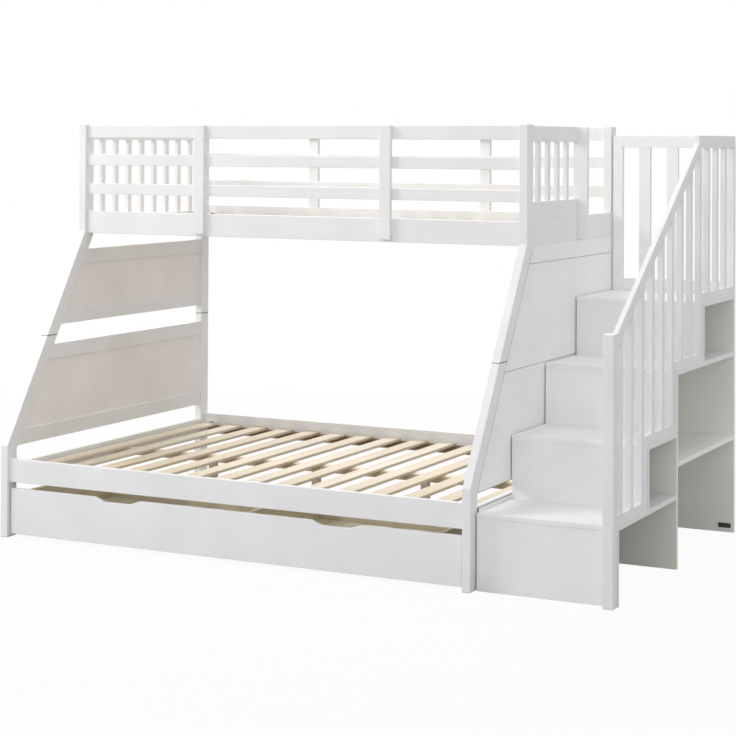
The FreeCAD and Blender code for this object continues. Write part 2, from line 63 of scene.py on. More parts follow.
def linear(hex_colour):
    """An sRGB hex colour as the linear values that a shader takes."""
    channels = [int(hex_colour[start:start + 2], 16) / 255 for start in (1, 3, 5)]
    return [c / 12.92 if c <= 0.04045 else ((c + 0.055) / 1.055) ** 2.4 for c in channels] + [1.0]


def add_node(material, kind, inputs=None, **settings):
    """Add a node; an input is filled with a value, or linked where it is given a socket."""
    node = material.node_tree.nodes.new(kind)
    for name, value in settings.items():
        setattr(node, name, value)
    for name, value in (inputs or {}).items():
        if isinstance(value, bpy.types.NodeSocket):
            material.node_tree.links.new(value, node.inputs[name])
        else:
            node.inputs[name].default_value = value
    return node


def new_material(name):
    material = bpy.data.materials.new(name)
    material.use_nodes = True
    return material, material.node_tree.nodes["Principled BSDF"]


def set_ramp(ramp, *stops):
    """Give a colour ramp its stops, each a place from 0 to 1 and a hex colour."""
    elements = ramp.color_ramp.elements
    while len(elements) < len(stops):
        elements.new(1.0)
    for element, (place, colour) in zip(elements, stops):
        element.position = place
        element.color = linear(colour)


# Noise stays mostly between these two values, so a ramp from one to the other uses all of it.
noise_low, noise_high = 0.3, 0.7
paint_light, paint_dark = "#F0F0F1", "#EAEAEB"
print("white paint reads", [round(c, 3) for c in linear(paint_light)[:3]])

# %% [markdown]
# ## White satin lacquer
# The bed is painted pine and board under a sprayed white polyurethane lacquer, rubbed down to satin.
# A flat white would look like plastic foam. The real coat is a touch cloudy, it keeps a very faint
# memory of the grain that runs along each board, and it has a fine orange peel from the spray gun.
# All three are drawn from noise on Object coordinates. The grain noise is stretched along the board,
# so there is one lacquer for boards along X, one for Y and one for Z. The posts have a fourth, because
# they are cut to length after spraying: the ends that meet in a joint stay bare. Their faces that look
# up or down, eased edges included, are drawn dark bare wood. That is partly painted shade, so the groove
# at the joint shows as a thin dark line around the post.

# %% Lacquer for boards along each axis
cloud_size = 180 * millimetre
grain_width = 5 * millimetre
grain_length = 220 * millimetre
# Real orange peel is about 1 mm across; it is drawn at 4 mm so that a close view still shows it.
peel_size = 4 * millimetre
grain_share = 0.6
# Dark bare wood, also used as painted shade in the groove at each post joint
bare_wood_and_groove_shade = "#7A6852"
# A face counts as an end where its normal is this steep. Ends within the margin of the top are painted.
end_facing = 0.6
top_margin = 20 * millimetre


def satin_lacquer(name, along, bare_and_shade_below=None):
    """Sprayed white lacquer: a soft, slightly cloudy white with a wide, dull highlight."""
    material, shader = new_material(name)
    place = add_node(material, "ShaderNodeTexCoord")
    clouds = add_node(material, "ShaderNodeTexNoise", {
        "Vector": place.outputs["Object"], "Scale": 1 / cloud_size, "Detail": 3.0, "Roughness": 0.45,
    })
    tone = add_node(material, "ShaderNodeValToRGB", {"Fac": clouds.outputs["Fac"]})
    set_ramp(tone, (noise_low, paint_dark), (noise_high, paint_light))
    paint = tone.outputs["Color"]
    # Faces that look up or down, below the top margin, get the dark bare wood: bare ends and painted groove
    # shade
    if bare_and_shade_below:
        facing = add_node(material, "ShaderNodeSeparateXYZ", {"Vector": place.outputs["Normal"]})
        upright = add_node(material, "ShaderNodeMath", {0: facing.outputs["Z"]}, operation="ABSOLUTE")
        end = add_node(material, "ShaderNodeMath", {
            0: upright.outputs["Value"], 1: end_facing,
        }, operation="GREATER_THAN")
        parts = add_node(material, "ShaderNodeSeparateXYZ", {"Vector": place.outputs["Object"]})
        under = add_node(material, "ShaderNodeMath", {
            0: parts.outputs["Z"], 1: bare_and_shade_below,
        }, operation="LESS_THAN")
        bare_and_shade_mask = add_node(material, "ShaderNodeMath", {
            0: end.outputs["Value"], 1: under.outputs["Value"],
        }, operation="MULTIPLY")
        sprayed = add_node(material, "ShaderNodeMix", {
            "Factor": bare_and_shade_mask.outputs["Value"], 6: paint, 7: linear(bare_wood_and_groove_shade),
        }, data_type="RGBA")
        paint = sprayed.outputs[2]
    stretch = [1 / grain_width] * 3
    stretch[along] = 1 / grain_length
    board = add_node(material, "ShaderNodeMapping", {"Vector": place.outputs["Object"], "Scale": stretch})
    grain = add_node(material, "ShaderNodeTexNoise", {
        "Vector": board.outputs["Vector"], "Scale": 1.0, "Detail": 4.0, "Roughness": 0.55,
    })
    peel = add_node(material, "ShaderNodeTexNoise", {
        "Vector": place.outputs["Object"], "Scale": 1 / peel_size, "Detail": 1.0,
    })
    relief = add_node(material, "ShaderNodeMath", {
        0: grain.outputs["Fac"], 1: grain_share, 2: peel.outputs["Fac"],
    }, operation="MULTIPLY_ADD")
    bump = add_node(material, "ShaderNodeBump", {
        "Height": relief.outputs["Value"], "Strength": 0.12, "Distance": 0.4 * millimetre,
    })
    gloss = add_node(material, "ShaderNodeMapRange", {
        "Value": grain.outputs["Fac"], "To Min": 0.46, "To Max": 0.56,
    })
    links = material.node_tree.links
    links.new(paint, shader.inputs["Base Color"])
    links.new(gloss.outputs["Result"], shader.inputs["Roughness"])
    links.new(bump.outputs["Normal"], shader.inputs["Normal"])
    shader.inputs["IOR"].default_value = 1.5
    return material


lacquer = [satin_lacquer("satin_lacquer_along_" + axis, number) for number, axis in enumerate("xyz")]
post_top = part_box("left_rear_upper_post")[1].z
post_lacquer = satin_lacquer("satin_lacquer_on_posts", 2, bare_and_shade_below=post_top - top_margin)
print("lacquers", [material.name for material in lacquer + [post_lacquer]])

# %% [markdown]
# ## Painted panels
# The two thin panels of the far end, the walls of the stair end and the boards of the stair are
# flat-pressed board under the same lacquer, so they have no grain at all. Their whites still differ a
# little as painted light: the far-end panels, the sheet boards and the divider where it is the third
# riser lie in shade and are drawn brighter. The walls and the thin inner panel of the stair are cut from
# sheets that were painted first, so their cut edges stay raw and brown, and that brown is darkened into
# painted shade. That is why the narrow joints of the stair end look like dark lines. The side of a board
# that shows is told from its edges by the direction that it faces, and the edge at the very top is
# painted again. The boards inside the stair are drawn a cleaner and slightly warmer white. That is painted
# light, which brightens the shaded cubbies and gives them a warm cast. The divider is both: paint where it
# shows as the third riser, and that warmer white below, where it is a wall of the low cubby.

# %% Painted board
chip_size = 2 * millimetre
# Raw board, darkened into painted shade for the narrow joints
raw_edge_shade_light, raw_edge_shade_dark = "#665440", "#4A3C2E"
# Painted light: a cleaner, slightly warmer white that brightens the shaded cubbies and warms them
lit_cubby_tone_light, lit_cubby_tone_dark = "#FBF8F0", "#F6F3EA"
# A face counts as a painted side where its normal points this much along X.
side_facing = 0.5


def painted_board(name, light, dark, raw_shade_below=None, lit_cubby_below=None):
    """Lacquer on pressed board: even, a touch duller than on solid wood; late-cut edges raw, darkened as
    painted shade.
    """
    material, shader = new_material(name)
    place = add_node(material, "ShaderNodeTexCoord")
    clouds = add_node(material, "ShaderNodeTexNoise", {
        "Vector": place.outputs["Object"], "Scale": 1 / cloud_size, "Detail": 2.0, "Roughness": 0.4,
    })
    tone = add_node(material, "ShaderNodeValToRGB", {"Fac": clouds.outputs["Fac"]})
    set_ramp(tone, (noise_low, dark), (noise_high, light))
    paint = tone.outputs["Color"]
    # Below the given height the board takes that warmer white, painted light for the shaded low cubby.
    if lit_cubby_below:
        parts = add_node(material, "ShaderNodeSeparateXYZ", {"Vector": place.outputs["Object"]})
        lit_cubby_tone = add_node(material, "ShaderNodeValToRGB", {"Fac": clouds.outputs["Fac"]})
        set_ramp(lit_cubby_tone, (noise_low, lit_cubby_tone_dark), (noise_high, lit_cubby_tone_light))
        inside = add_node(material, "ShaderNodeMath", {
            0: parts.outputs["Z"], 1: lit_cubby_below,
        }, operation="LESS_THAN")
        lit_cubby_mix = add_node(material, "ShaderNodeMix", {
            "Factor": inside.outputs["Value"], 6: paint, 7: lit_cubby_tone.outputs["Color"],
        }, data_type="RGBA")
        paint = lit_cubby_mix.outputs[2]
    # Cut edges are drawn dark brown: partly raw board, partly painted shade of the narrow joints.
    if raw_shade_below:
        facing = add_node(material, "ShaderNodeSeparateXYZ", {"Vector": place.outputs["Normal"]})
        side = add_node(material, "ShaderNodeMath", {0: facing.outputs["X"]}, operation="ABSOLUTE")
        chips = add_node(material, "ShaderNodeTexNoise", {
            "Vector": place.outputs["Object"], "Scale": 1 / chip_size, "Detail": 2.0,
        })
        raw_edge_and_shade = add_node(material, "ShaderNodeValToRGB", {"Fac": chips.outputs["Fac"]})
        set_ramp(raw_edge_and_shade, (noise_low, raw_edge_shade_dark), (noise_high, raw_edge_shade_light))
        face = add_node(material, "ShaderNodeMath", {
            0: side.outputs["Value"], 1: side_facing,
        }, operation="GREATER_THAN")
        parts = add_node(material, "ShaderNodeSeparateXYZ", {"Vector": place.outputs["Object"]})
        above = add_node(material, "ShaderNodeMath", {
            0: parts.outputs["Z"], 1: raw_shade_below,
        }, operation="GREATER_THAN")
        painted = add_node(material, "ShaderNodeMath", {
            0: face.outputs["Value"], 1: above.outputs["Value"],
        }, operation="MAXIMUM")
        sheet = add_node(material, "ShaderNodeMix", {
            "Factor": painted.outputs["Value"], 6: raw_edge_and_shade.outputs["Color"], 7: paint,
        }, data_type="RGBA")
        paint = sheet.outputs[2]
    peel = add_node(material, "ShaderNodeTexNoise", {
        "Vector": place.outputs["Object"], "Scale": 1 / peel_size, "Detail": 1.0,
    })
    bump = add_node(material, "ShaderNodeBump", {
        "Height": peel.outputs["Fac"], "Strength": 0.1, "Distance": 0.3 * millimetre,
    })
    gloss = add_node(material, "ShaderNodeMapRange", {
        "Value": peel.outputs["Fac"], "To Min": 0.6, "To Max": 0.7,
    })
    links = material.node_tree.links
    links.new(paint, shader.inputs["Base Color"])
    links.new(gloss.outputs["Result"], shader.inputs["Roughness"])
    links.new(bump.outputs["Normal"], shader.inputs["Normal"])
    shader.inputs["IOR"].default_value = 1.42
    return material


# The white differs a little from board to board as painted light: the sheet boards, the far-end panels and
# the divider's riser lie in shade and are drawn brighter than the stair board.
stair_board = painted_board("painted_stair_board", "#F2F3F3", "#ECEDED")
wall_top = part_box("right_end_walls")[1].z
sheet_board = painted_board(
    "painted_sheet_board", "#F7F8F8", "#F2F3F3", raw_shade_below=wall_top - top_margin,
)
panel_board = painted_board("painted_panel_board", "#F8F5F3", "#F3EFED")
shelf_board = painted_board("white_board_lit_for_cubbies", "#FDFCF7", "#F9F7F1")
low_cubby_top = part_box("tread_2")[0].z
divider_board = painted_board(
    "painted_divider_board", "#F5F6F5", "#EFF0EF", lit_cubby_below=low_cubby_top,
)
boards = [stair_board, sheet_board, panel_board, shelf_board, divider_board]
print("boards", [board.name for board in boards])

# %% [markdown]
# ## Planed pine
# The slats, the cleats under them, the centre beam and its legs are bare pine. Pine is pale earlywood
# with thin, darker latewood lines, the edges of growth rings. A real board is a cut through a tree, so
# the pattern here is one too: rings around a pith line that runs along the board, stretched and bent
# by noise. Each slat comes from another tree: its number, counted along the bed, gives it a pith of
# its own and a tint of its own, and a few small knots sit where a coarse cell pattern puts them.

# %% Pine for slats and beams
ring_width = 4.2 * millimetre
fibre_width = 1.6 * millimetre
fibre_length = 90 * millimetre
knot_spacing = 420 * millimetre
# At a scale of 1, Blender's wave texture repeats after this length.
wave_period = 2 * math.pi / 20
# How far the piths of two boards may lie apart, across the boards and along them
pith_spread = 120 * millimetre
tree_spread = 9.0
ring_stretch = 0.035
knot_stretch = 0.45
# Clear pine for the slats, a greyer and plainer grade for the trundle, and for the cleats pine drawn
# dark brown: painted shade, as they sit in the shade under the slats
slat_tones = ["#E7DFD2", "#E4DBCB", "#D4C7AF", "#E1D7C5"]
plain_tones = ["#E9E7DD", "#E6E3D6", "#DAD5C4", "#E4E0D1"]
shaded_cleat_tones = ["#978263", "#8E7858", "#745F42", "#897352"]


def planed_pine(name, along, across, first, pitch, tones):
    """Bare planed pine: pale straw with tan ring lines, matt, and different from board to board."""
    material, shader = new_material(name)
    links = material.node_tree.links
    place = add_node(material, "ShaderNodeTexCoord")
    parts = add_node(material, "ShaderNodeSeparateXYZ", {"Vector": place.outputs["Object"]})
    steps = add_node(material, "ShaderNodeMath", {
        0: parts.outputs[across], 1: first,
    }, operation="SUBTRACT")
    number = add_node(material, "ShaderNodeMath", {
        0: steps.outputs["Value"], 1: pitch,
    }, operation="SNAP")
    chance = add_node(material, "ShaderNodeTexWhiteNoise", {
        "W": number.outputs["Value"],
    }, noise_dimensions="1D")

    shift = add_node(material, "ShaderNodeVectorMath", {
        0: chance.outputs["Color"], 1: (0.5, 0.5, 0.5),
    }, operation="SUBTRACT")
    spread = [pith_spread] * 3
    spread["XYZ".index(along)] = tree_spread
    pith = add_node(material, "ShaderNodeVectorMath", {
        0: shift.outputs["Vector"], 1: spread, 2: place.outputs["Object"],
    }, operation="MULTIPLY_ADD")
    flatten = [1.0, 1.0, 1.0]
    flatten["XYZ".index(along)] = ring_stretch
    log = add_node(material, "ShaderNodeMapping", {"Vector": pith.outputs["Vector"], "Scale": flatten})
    rings = add_node(material, "ShaderNodeTexWave", {
        "Vector": log.outputs["Vector"], "Scale": wave_period / ring_width, "Distortion": 5.0,
        "Detail": 2.0, "Detail Scale": 0.35, "Detail Roughness": 0.5,
    }, wave_type="RINGS", rings_direction=along, wave_profile="SAW")
    wood = add_node(material, "ShaderNodeValToRGB", {"Fac": rings.outputs["Fac"]})
    set_ramp(wood, *zip((0.0, 0.55, 0.86, 1.0), tones))

    stretch = [1 / fibre_width] * 3
    stretch["XYZ".index(along)] = 1 / fibre_length
    fibre_place = add_node(material, "ShaderNodeMapping", {
        "Vector": pith.outputs["Vector"], "Scale": stretch,
    })
    fibres = add_node(material, "ShaderNodeTexNoise", {
        "Vector": fibre_place.outputs["Vector"], "Scale": 1.0, "Detail": 3.0, "Roughness": 0.6,
    })
    streak = add_node(material, "ShaderNodeValToRGB", {"Fac": fibres.outputs["Fac"]})
    set_ramp(streak, (0.25, "#EEE8DF"), (0.7, "#FFFFFF"))
    streaked = add_node(material, "ShaderNodeMix", {
        "Factor": 0.7, 6: wood.outputs["Color"], 7: streak.outputs["Color"],
    }, data_type="RGBA", blend_type="MULTIPLY")
    tint = add_node(material, "ShaderNodeValToRGB", {"Fac": chance.outputs["Value"]})
    set_ramp(tint, (0.0, "#FFFFFC"), (0.5, "#FDFAF4"), (1.0, "#F8F1E6"))
    tinted = add_node(material, "ShaderNodeMix", {
        "Factor": 1.0, 6: streaked.outputs[2], 7: tint.outputs["Color"],
    }, data_type="RGBA", blend_type="MULTIPLY")

    oval = [1 / knot_spacing] * 3
    oval["XYZ".index(along)] = knot_stretch / knot_spacing
    knot_place = add_node(material, "ShaderNodeMapping", {"Vector": pith.outputs["Vector"], "Scale": oval})
    knots = add_node(material, "ShaderNodeTexVoronoi", {
        "Vector": knot_place.outputs["Vector"], "Scale": 1.0, "Randomness": 1.0,
    })
    knot_tone = add_node(material, "ShaderNodeValToRGB", {"Fac": knots.outputs["Distance"]})
    set_ramp(knot_tone, (0.0, "#8E6238"), (0.014, "#B98A58"), (0.024, "#E8CDA6"), (0.05, "#FFFFFF"))
    knotted = add_node(material, "ShaderNodeMix", {
        "Factor": 1.0, 6: tinted.outputs[2], 7: knot_tone.outputs["Color"],
    }, data_type="RGBA", blend_type="MULTIPLY")

    bump = add_node(material, "ShaderNodeBump", {
        "Height": fibres.outputs["Fac"], "Strength": 0.25, "Distance": 0.3 * millimetre,
    })
    links.new(knotted.outputs[2], shader.inputs["Base Color"])
    links.new(bump.outputs["Normal"], shader.inputs["Normal"])
    shader.inputs["Roughness"].default_value = 0.62
    shader.inputs["IOR"].default_value = 1.45
    return material


slat_count = 15
slat_low, slat_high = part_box("lower_slats")
slat_width = 68 * millimetre
slat_pitch = (slat_high.x - slat_low.x - slat_width) / (slat_count - 1)
slat_start = slat_low.x - (slat_pitch - slat_width) / 2
trundle_slat_count = 25
trundle_low, trundle_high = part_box("trundle_slats")
trundle_pitch = (trundle_high.x - trundle_low.x - slat_width) / (trundle_slat_count - 1)
trundle_start = trundle_low.x - (trundle_pitch - slat_width) / 2

# Other boards change their tree every quarter of a metre across.
tree_step = 250 * millimetre
pine_slats = planed_pine("planed_pine_bunk_slats", "Y", "X", slat_start, slat_pitch, slat_tones)
pine_trundle_slats = planed_pine(
    "planed_pine_trundle_slats", "Y", "X", trundle_start, trundle_pitch, plain_tones,
)
pine_beams = planed_pine("planed_pine_beams", "X", "Y", 0.0, tree_step, slat_tones)
# The cleats' dark brown is pine with painted shade
pine_cleats = planed_pine("planed_pine_darkened_as_shade", "X", "Y", 0.0, tree_step, shaded_cleat_tones)
pine_boards = planed_pine("planed_pine_box_boards", "X", "Y", 0.0, tree_step, plain_tones)
pine_cross_boards = planed_pine("planed_pine_cross_boards", "Y", "X", 0.0, tree_step, plain_tones)
pine_legs = planed_pine("planed_pine_legs", "Z", "X", 0.0, tree_step, slat_tones)
print("slat pitch in mm", round(slat_pitch / millimetre, 2), round(trundle_pitch / millimetre, 2))

# %% [markdown]
# ## Zinc-plated steel
# The bolts, nuts and caster forks are steel with a bright zinc coat: a cool grey metal with a fine
# crystal mottling and a blurred reflection. Metal takes all its colour from what it mirrors, so the
# shader is fully metallic and the mottling only moves the roughness and the tone a little.

# %% Zinc
crystal_size = 3 * millimetre


def zinc_plate(name):
    """Bright zinc on steel: cool grey, mirror-like but mottled and blurred."""
    material, shader = new_material(name)
    place = add_node(material, "ShaderNodeTexCoord")
    crystals = add_node(material, "ShaderNodeTexVoronoi", {
        "Vector": place.outputs["Object"], "Scale": 1 / crystal_size,
    })
    tone = add_node(material, "ShaderNodeValToRGB", {"Fac": crystals.outputs["Distance"]})
    set_ramp(tone, (0.0, "#C9CDD0"), (1.0, "#B3B7BB"))
    blur = add_node(material, "ShaderNodeMapRange", {
        "Value": crystals.outputs["Distance"], "To Min": 0.28, "To Max": 0.42,
    })
    links = material.node_tree.links
    links.new(tone.outputs["Color"], shader.inputs["Base Color"])
    links.new(blur.outputs["Result"], shader.inputs["Roughness"])
    shader.inputs["Metallic"].default_value = 1.0
    return material


zinc = zinc_plate("zinc_plated_steel")
print("metal", zinc.name)

# %% [markdown]
# ## Moulded plastics
# Each caster wheel is a hard polypropylene core with a softer rubbery tread around it. Both are black
# and matt, with the fine spark texture of a mould. The core is a little glossier than the tread.

# %% Wheel plastics and the label's foil
mould_grain = 0.8 * millimetre


def moulded_plastic(name, light, dark, roughness):
    """Moulded plastic: one deep colour with a fine pebbled surface that scatters its highlight."""
    material, shader = new_material(name)
    place = add_node(material, "ShaderNodeTexCoord")
    pebbles = add_node(material, "ShaderNodeTexNoise", {
        "Vector": place.outputs["Object"], "Scale": 1 / mould_grain, "Detail": 2.0,
    })
    tone = add_node(material, "ShaderNodeValToRGB", {"Fac": pebbles.outputs["Fac"]})
    set_ramp(tone, (noise_low, dark), (noise_high, light))
    bump = add_node(material, "ShaderNodeBump", {
        "Height": pebbles.outputs["Fac"], "Strength": 0.2, "Distance": 0.1 * millimetre,
    })
    links = material.node_tree.links
    links.new(tone.outputs["Color"], shader.inputs["Base Color"])
    links.new(bump.outputs["Normal"], shader.inputs["Normal"])
    shader.inputs["Roughness"].default_value = roughness
    return material


wheel_core = moulded_plastic("moulded_polypropylene", "#2A2A2C", "#222224", 0.45)
wheel_tread = moulded_plastic("moulded_rubber_tread", "#47484A", "#3D3E40", 0.7)
label_foil = moulded_plastic("satin_black_foil", "#161616", "#101010", 0.4)
print("plastics", wheel_core.name, wheel_tread.name, label_foil.name)

# %% [markdown]
# ## Finish of every node
# A node whose shape is right stays as it is and only gets its finish. Boards are sorted by the way
# that their length runs, because the lacquer's grain follows it.

# %% Give each node its material
posts = [side + row + half + "post" for side in ("left_", "right_") for row in ("front_", "rear_")
         for half in ("lower_", "upper_")]
wheel_bodies = ["front_left_wheel", "front_right_wheel", "rear_left_wheel", "rear_right_wheel"]
finishes = [
    (lacquer[0], ["lower_front_rail", "lower_rear_rail", "upper_front_rail", "upper_rear_rail",
                  "guard_top_rails", "guard_mid_rails", "back_guard_rails", "trundle_front"]),
    (lacquer[1], ["lower_end_rails", "upper_end_rails", "left_panel_rails", "end_guard_rails", "handrail",
                  "outer_top_rail", "outer_guard_sills"]),
    (post_lacquer, posts),
    (lacquer[2], ["guard_braces", "end_guard_slats", "entry_board", "newel_post", "outer_guard_stiles",
                  "outer_guard_pickets", "back_guard_stiles", "back_guard_pickets"]),
    (stair_board, ["tread_1", "tread_2", "tread_3", "tread_4", "stair_risers"]),
    (divider_board, ["stair_divider"]),
    (shelf_board, ["stair_back_panel", "middle_shelf"]),
    (sheet_board, ["stair_inner_panel", "right_end_walls"]),
    (panel_board, ["left_panels"]),
    (pine_slats, ["lower_slats", "upper_slats"]),
    (pine_trundle_slats, ["trundle_slats"]),
    (pine_cleats, ["slat_cleats"]),
    (pine_beams, ["centre_beam"]),
    (pine_boards, ["trundle_rear_board", "trundle_bearers"]),
    (pine_cross_boards, ["trundle_end_boards", "trundle_divider"]),
    (pine_legs, ["centre_legs", "post_tenons"]),
    (zinc, ["hanger_bolts", "rail_nuts", "caster_forks"]),
    (wheel_core, wheel_bodies),
]
finished = set()
for material, names in finishes:
    for name in names:
        nodes[name].data.materials.clear()
        nodes[name].data.materials.append(material)
        finished.add(name)
print("finished nodes", len(finished), "left over", sorted(set(nodes) - finished))

# %% [markdown]
# ## Caster wheels
# The trundle rolls on four small wheels. The node of each is a plain drum, enough for rolling. A real
# one is moulded: a crowned tread, a dished web on each side and a hub that stands out around the axle.
# One wheel is made from a cylinder, as by hand: the side faces are inset and pushed in for the dish,
# inset again and pulled out for the hub, and the last inset is bridged through to make the bore.

# %% Model one wheel and copy it to the four casters
tread_wall = 5 * millimetre
dish_depth = 4 * millimetre
hub_wall = 8.5 * millimetre
hub_rise = 2.5 * millimetre
bore_radius = 4.05 * millimetre
tread_round = 3 * millimetre
wheel_sides = 48
cap_facing = 0.9
weld_distance = 0.01 * millimetre
wheel_crease = math.radians(35)


def start_fresh():
    """Leave edit mode and deselect everything, so that an operator only acts on what comes next."""
    if bpy.context.object and bpy.context.object.mode != "OBJECT":
        bpy.ops.object.mode_set(mode="OBJECT")
    bpy.ops.object.select_all(action="DESELECT")


def pick_faces(piece, test):
    """Select the faces of the piece in edit mode that pass a test of their centre and normal."""
    bpy.ops.object.mode_set(mode="EDIT")
    bpy.ops.mesh.select_mode(type="FACE")
    bpy.ops.mesh.select_all(action="DESELECT")
    bpy.ops.object.mode_set(mode="OBJECT")
    for polygon in piece.data.polygons:
        polygon.select = test(polygon.center, polygon.normal)
    bpy.ops.object.mode_set(mode="EDIT")


def pick_edges(piece, test):
    """Select the edges of the piece in edit mode whose two ends pass a test together."""
    bpy.ops.object.mode_set(mode="EDIT")
    bpy.ops.mesh.select_mode(type="EDGE")
    bpy.ops.mesh.select_all(action="DESELECT")
    bpy.ops.object.mode_set(mode="OBJECT")
    points = piece.data.vertices
    for edge in piece.data.edges:
        edge.select = test(*(points[end].co for end in edge.vertices))
    bpy.ops.object.mode_set(mode="EDIT")


def copy_piece(piece, name, offset):
    """A copy with its own mesh, moved by an offset that goes into the mesh."""
    start_fresh()
    piece.select_set(True)
    bpy.context.view_layer.objects.active = piece
    bpy.ops.object.duplicate(linked=False)
    copy = bpy.context.object
    copy.name = name
    bpy.ops.transform.translate(value=offset)
    bpy.ops.object.transform_apply(location=True, rotation=True, scale=True)
    return copy


def model_wheel(name, low, high):
    """A moulded wheel that fills the box of its node."""
    start_fresh()
    centre = (low + high) / 2
    radius = (high.z - low.z) / 2
    half = (high.x - low.x) / 2
    bpy.ops.mesh.primitive_cylinder_add(
        vertices=wheel_sides, radius=radius, depth=2 * half, location=centre, rotation=(0, math.pi / 2, 0),
    )
    wheel = bpy.context.object
    wheel.name = name
    bpy.ops.object.transform_apply(location=True, rotation=True, scale=True)

    def on_side(place, normal):
        return abs(normal.x) > cap_facing and (place - centre).yz.length < tread_wall

    def on_rim(start, end):
        around = abs(start.x - end.x) < tread_round
        return around and min((start - centre).yz.length, (end - centre).yz.length) > radius - tread_round

    pick_faces(wheel, on_side)
    bpy.ops.mesh.inset(thickness=tread_wall, use_individual=True)
    bpy.ops.mesh.extrude_region_shrink_fatten(TRANSFORM_OT_shrink_fatten={"value": -dish_depth})
    bpy.ops.mesh.inset(thickness=radius - tread_wall - hub_wall, use_individual=True)
    bpy.ops.mesh.extrude_region_shrink_fatten(TRANSFORM_OT_shrink_fatten={"value": hub_rise})
    bpy.ops.mesh.inset(thickness=hub_wall - bore_radius, use_individual=True)
    bpy.ops.mesh.bridge_edge_loops()
    pick_edges(wheel, on_rim)
    bpy.ops.mesh.bevel(offset=tread_round, segments=4, profile=0.5, affect="EDGES")
    bpy.ops.mesh.select_all(action="SELECT")
    bpy.ops.mesh.remove_doubles(threshold=weld_distance)
    bpy.ops.mesh.normals_make_consistent(inside=False)
    bpy.ops.object.mode_set(mode="OBJECT")
    bpy.ops.object.shade_smooth_by_angle(angle=wheel_crease)
    wheel.data.materials.append(wheel_core)
    wheel.data.materials.append(wheel_tread)
    for polygon in wheel.data.polygons:
        if (polygon.center - centre).yz.length > radius - tread_wall:
            polygon.material_index = 1
    return wheel


first_low, first_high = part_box(wheel_bodies[0])
first_wheel = model_wheel(wheel_bodies[0] + "_moulded", first_low, first_high)
wheels = [first_wheel]
for body in wheel_bodies[1:]:
    wheels.append(copy_piece(first_wheel, body + "_moulded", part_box(body)[0] - first_low))
for wheel, body in zip(wheels, wheel_bodies):
    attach(wheel, body)
    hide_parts(body)
print("wheels", [wheel.name for wheel in wheels], "faces each", len(first_wheel.data.polygons))

# %% [markdown]
# ## Axle rivets
# Each caster's axle is closed by riveting: its ends are hammered over into low domes on the outside of
# the fork. A dome is a short cylinder whose rim gets a wide round bevel.

# %% Model one rivet head and copy it to both sides of the forks
rivet_radius = 6 * millimetre
rivet_rise = 2.2 * millimetre
rivet_sides = 24
dome_round = rivet_rise * 0.95
fork_half = 15 * millimetre
small_crease = math.radians(40)


def model_rivet(name, place):
    """A low domed rivet head whose flat side is at the given place, facing +X."""
    start_fresh()
    bpy.ops.mesh.primitive_cylinder_add(
        vertices=rivet_sides, radius=rivet_radius, depth=rivet_rise,
        location=place + Vector((rivet_rise / 2, 0, 0)), rotation=(0, math.pi / 2, 0),
    )
    rivet = bpy.context.object
    rivet.name = name
    bpy.ops.object.transform_apply(location=True, rotation=True, scale=True)
    pick_edges(rivet, lambda start, end: min(start.x, end.x) > place.x + rivet_rise / 2)
    bpy.ops.mesh.bevel(offset=dome_round, segments=4, profile=0.5, affect="EDGES")
    bpy.ops.object.mode_set(mode="OBJECT")
    bpy.ops.object.shade_smooth_by_angle(angle=small_crease)
    rivet.data.materials.append(zinc)
    return rivet


def face_left(rivet, place):
    """Turn a rivet head half round its place, so that it faces -X."""
    start_fresh()
    rivet.select_set(True)
    bpy.context.view_layer.objects.active = rivet
    bpy.ops.transform.rotate(value=math.pi, orient_axis="Z", center_override=place)
    bpy.ops.object.transform_apply(location=True, rotation=True, scale=True)


axles = {body.replace("wheel", "caster"): sum(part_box(body), Vector()) / 2 for body in wheel_bodies}
to_right = Vector((fork_half, 0, 0))
first_place = axles["front_left_caster"] + to_right
rivets = [model_rivet("front_left_caster_right_rivet", first_place)]
for caster, axle in axles.items():
    if caster != "front_left_caster":
        rivets.append(copy_piece(rivets[0], caster + "_right_rivet", axle + to_right - first_place))
    left_rivet = copy_piece(rivets[0], caster + "_left_rivet", axle - to_right - first_place)
    face_left(left_rivet, axle - to_right)
    rivets.append(left_rivet)
for rivet in rivets:
    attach(rivet, "trundle")
print("rivets", len(rivets))

# %% [markdown]
# ## Label plate
# A small black plate sits low on the inside of the stair's back panel, near the open edge. It stays
# bare. It is a thin block with rounded corners and a fine rounded rim, so that its edge catches light.

# %% Model the plate
plate_width = 54 * millimetre
plate_height = 20 * millimetre
plate_rise = 1.2 * millimetre
plate_edge_gap = 12 * millimetre
plate_floor_gap = 18 * millimetre
plate_corner = 2.5 * millimetre
plate_rim = plate_rise * 0.4

panel_low, panel_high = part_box("stair_back_panel")
plate_centre = Vector((
    panel_high.x - plate_edge_gap - plate_width / 2,
    panel_low.y - plate_rise / 2,
    panel_low.z + plate_floor_gap + plate_height / 2,
))
start_fresh()
bpy.ops.mesh.primitive_cube_add(size=1, location=plate_centre, scale=(plate_width, plate_rise, plate_height))
label_plate = bpy.context.object
label_plate.name = "label_plate"
bpy.ops.object.transform_apply(location=True, rotation=True, scale=True)
pick_edges(label_plate, lambda start, end: abs(start.y - end.y) > plate_rise / 2)
bpy.ops.mesh.bevel(offset=plate_corner, segments=4, profile=0.5, affect="EDGES")
pick_edges(label_plate, lambda start, end: max(start.y, end.y) < plate_centre.y)
bpy.ops.mesh.bevel(offset=plate_rim, segments=2, profile=0.5, affect="EDGES")
bpy.ops.object.mode_set(mode="OBJECT")
bpy.ops.object.shade_smooth_by_angle(angle=small_crease)
label_plate.data.materials.append(label_foil)
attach(label_plate, "bed")
print("label plate", [round(c, 4) for c in plate_centre], "faces", len(label_plate.data.polygons))

